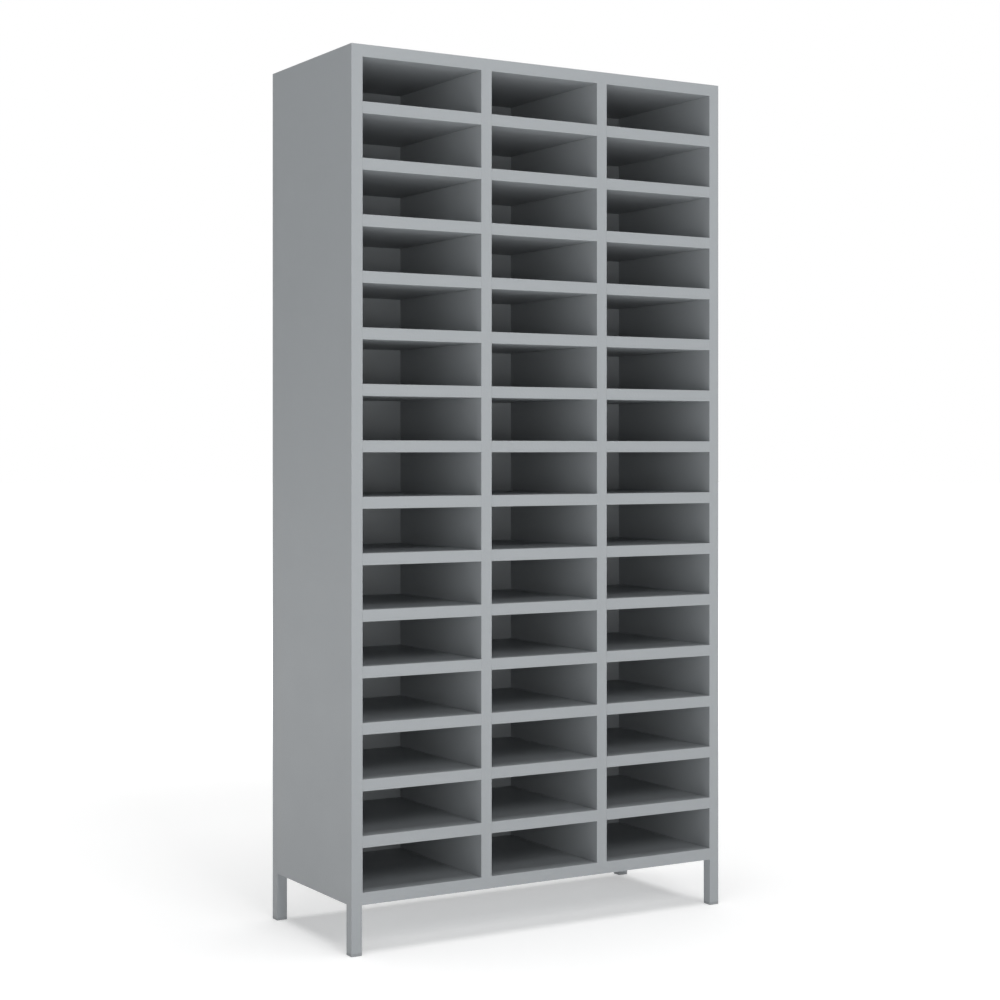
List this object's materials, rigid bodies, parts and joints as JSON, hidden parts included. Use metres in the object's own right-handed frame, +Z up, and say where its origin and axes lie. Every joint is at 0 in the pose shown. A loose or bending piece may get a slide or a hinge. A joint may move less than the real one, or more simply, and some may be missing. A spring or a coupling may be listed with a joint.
{
  "type": "mail sorter",
  "caption": "Tall free-standing steel mail sorter: columns of equal open-fronted compartments for letters and papers, with closed sides and back, raised on short square legs.",
  "frame": {"origin": "on the floor, under the middle of the cabinet's outline", "axes": "+X to the right of a person who faces the open front, +Y from the open front to the closed back, +Z up"},
  "size_m": [0.952, 0.4, 1.906],
  "materials": {
    "frame_powder_coat": "satin powder coat, fine orange peel",
    "panel_powder_coat": "satin powder coat, fine orange peel",
    "shelf_powder_coat": "satin powder coat, fine orange peel",
    "foot_cap_plastic": "moulded polyethylene, fine spark texture",
    "rivet_aluminium": "dull, as set"
  },
  "bodies": {
    "root": {"back_panel": "panel_powder_coat", "back_panel_rivets": "rivet_aluminium", "bottom_rails": "frame_powder_coat", "ceiling_panel": "panel_powder_coat", "floor_panel": "panel_powder_coat", "foot_caps": "foot_cap_plastic", "front_left_post": "frame_powder_coat", "front_right_post": "frame_powder_coat", "left_divider": "shelf_powder_coat", "left_liner": "panel_powder_coat", "left_shelf_01": "shelf_powder_coat", "left_shelf_02": "shelf_powder_coat", "left_shelf_03": "shelf_powder_coat", "left_shelf_04": "shelf_powder_coat", "left_shelf_05": "shelf_powder_coat", "left_shelf_06": "shelf_powder_coat", "left_shelf_07": "shelf_powder_coat", "left_shelf_08": "shelf_powder_coat", "left_shelf_09": "shelf_powder_coat", "left_shelf_10": "shelf_powder_coat", "left_shelf_11": "shelf_powder_coat", "left_shelf_12": "shelf_powder_coat", "left_shelf_13": "shelf_powder_coat", "left_shelf_14": "shelf_powder_coat", "left_side_panel": "panel_powder_coat", "middle_shelf_01": "shelf_powder_coat", "middle_shelf_02": "shelf_powder_coat", "middle_shelf_03": "shelf_powder_coat", "middle_shelf_04": "shelf_powder_coat", "middle_shelf_05": "shelf_powder_coat", "middle_shelf_06": "shelf_powder_coat", "middle_shelf_07": "shelf_powder_coat", "middle_shelf_08": "shelf_powder_coat", "middle_shelf_09": "shelf_powder_coat", "middle_shelf_10": "shelf_powder_coat", "middle_shelf_11": "shelf_powder_coat", "middle_shelf_12": "shelf_powder_coat", "middle_shelf_13": "shelf_powder_coat", "middle_shelf_14": "shelf_powder_coat", "rear_left_post": "frame_powder_coat", "rear_right_post": "frame_powder_coat", "right_divider": "shelf_powder_coat", "right_liner": "panel_powder_coat", "right_shelf_01": "shelf_powder_coat", "right_shelf_02": "shelf_powder_coat", "right_shelf_03": "shelf_powder_coat", "right_shelf_04": "shelf_powder_coat", "right_shelf_05": "shelf_powder_coat", "right_shelf_06": "shelf_powder_coat", "right_shelf_07": "shelf_powder_coat", "right_shelf_08": "shelf_powder_coat", "right_shelf_09": "shelf_powder_coat", "right_shelf_10": "shelf_powder_coat", "right_shelf_11": "shelf_powder_coat", "right_shelf_12": "shelf_powder_coat", "right_shelf_13": "shelf_powder_coat", "right_shelf_14": "shelf_powder_coat", "right_side_panel": "panel_powder_coat", "top_panel": "panel_powder_coat", "top_rails": "frame_powder_coat"}
  },
  "joints": []
}
